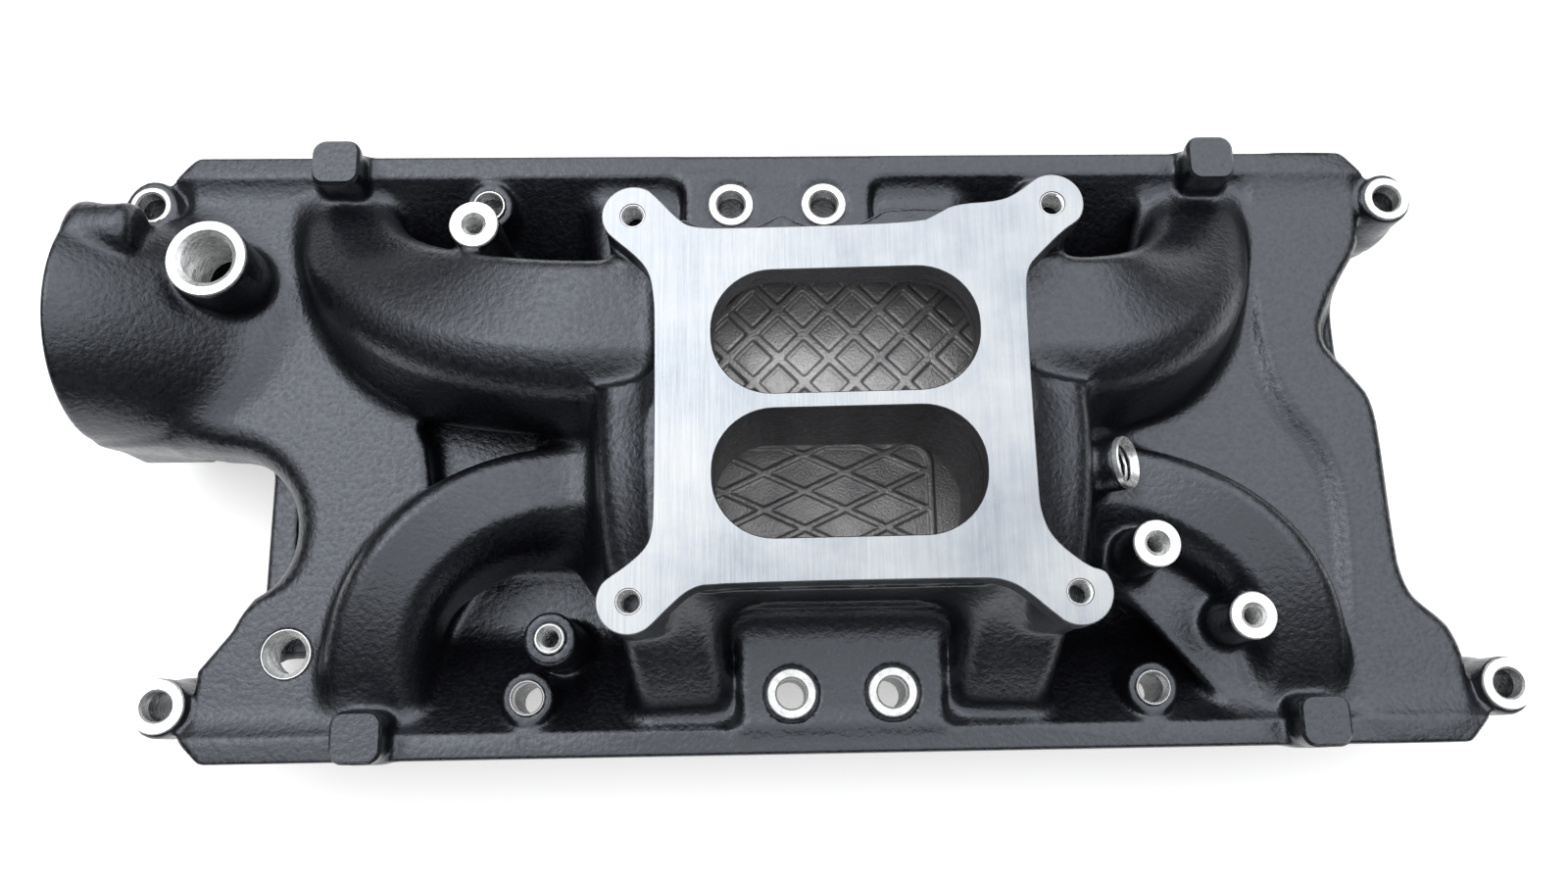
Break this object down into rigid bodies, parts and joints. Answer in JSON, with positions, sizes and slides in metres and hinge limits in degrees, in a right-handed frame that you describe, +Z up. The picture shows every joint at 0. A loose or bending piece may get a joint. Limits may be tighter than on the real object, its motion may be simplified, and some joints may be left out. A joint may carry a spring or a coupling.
{
  "type": "intake manifold",
  "caption": "Cast aluminium dual-plane intake manifold for a V8, with a machined four-stud carburettor flange, curved runners, head flanges and a thermostat neck.",
  "frame": {"origin": "midway along the length, on the centre line between the cylinder banks, on the plane of the end rails' undersides", "axes": "+X to the rear of the engine, +Y to the passenger side, +Z up; the thermostat neck faces -X"},
  "size_m": [0.5258, 0.229, 0.1326],
  "materials": {
    "coated_casting": "cast aluminium with a satin black coating",
    "machined_aluminium": "bare machined"
  },
  "bodies": {
    "root": {"bolt_boss_driver_front_inner": "coated_casting", "bolt_boss_driver_front_outer": "coated_casting", "bolt_boss_driver_rear_inner": "coated_casting", "bolt_boss_driver_rear_outer": "coated_casting", "bolt_boss_passenger_front_inner": "coated_casting", "bolt_boss_passenger_front_outer": "coated_casting", "bolt_boss_passenger_rear_inner": "coated_casting", "bolt_boss_passenger_rear_outer": "coated_casting", "carburetor_flange": "machined_aluminium", "casting_post_driver_front": "coated_casting", "casting_post_driver_rear": "coated_casting", "casting_post_passenger_front": "coated_casting", "casting_post_passenger_rear": "coated_casting", "crossover_block_driver": "coated_casting", "crossover_block_passenger": "coated_casting", "exhaust_crossover": "coated_casting", "front_end_rail": "coated_casting", "front_pocket_floor": "coated_casting", "front_water_crossover": "coated_casting", "head_flange_driver": "coated_casting", "head_flange_passenger": "coated_casting", "heater_port_boss": "coated_casting", "neck_shoulder": "coated_casting", "plenum_divider": "coated_casting", "plenum_lower_chamber": "coated_casting", "plenum_lower_floor": "coated_casting", "plenum_upper_chamber": "coated_casting", "plenum_upper_floor": "coated_casting", "plenum_well": "coated_casting", "rear_deck": "coated_casting", "rear_end_rail": "coated_casting", "runner_driver_front_inner": "coated_casting", "runner_driver_front_outer": "coated_casting", "runner_driver_rear_inner": "coated_casting", "runner_driver_rear_outer": "coated_casting", "runner_passenger_front_inner": "coated_casting", "runner_passenger_front_outer": "coated_casting", "runner_passenger_rear_inner": "coated_casting", "runner_passenger_rear_outer": "coated_casting", "stud_boss_front_driver": "coated_casting", "stud_boss_front_passenger": "coated_casting", "stud_boss_rear_driver_inner": "coated_casting", "stud_boss_rear_driver_outer": "coated_casting", "temperature_sender_port": "coated_casting", "thermostat_neck": "coated_casting", "vacuum_port_boss": "coated_casting", "valley_floor": "coated_casting"}
  },
  "joints": []
}
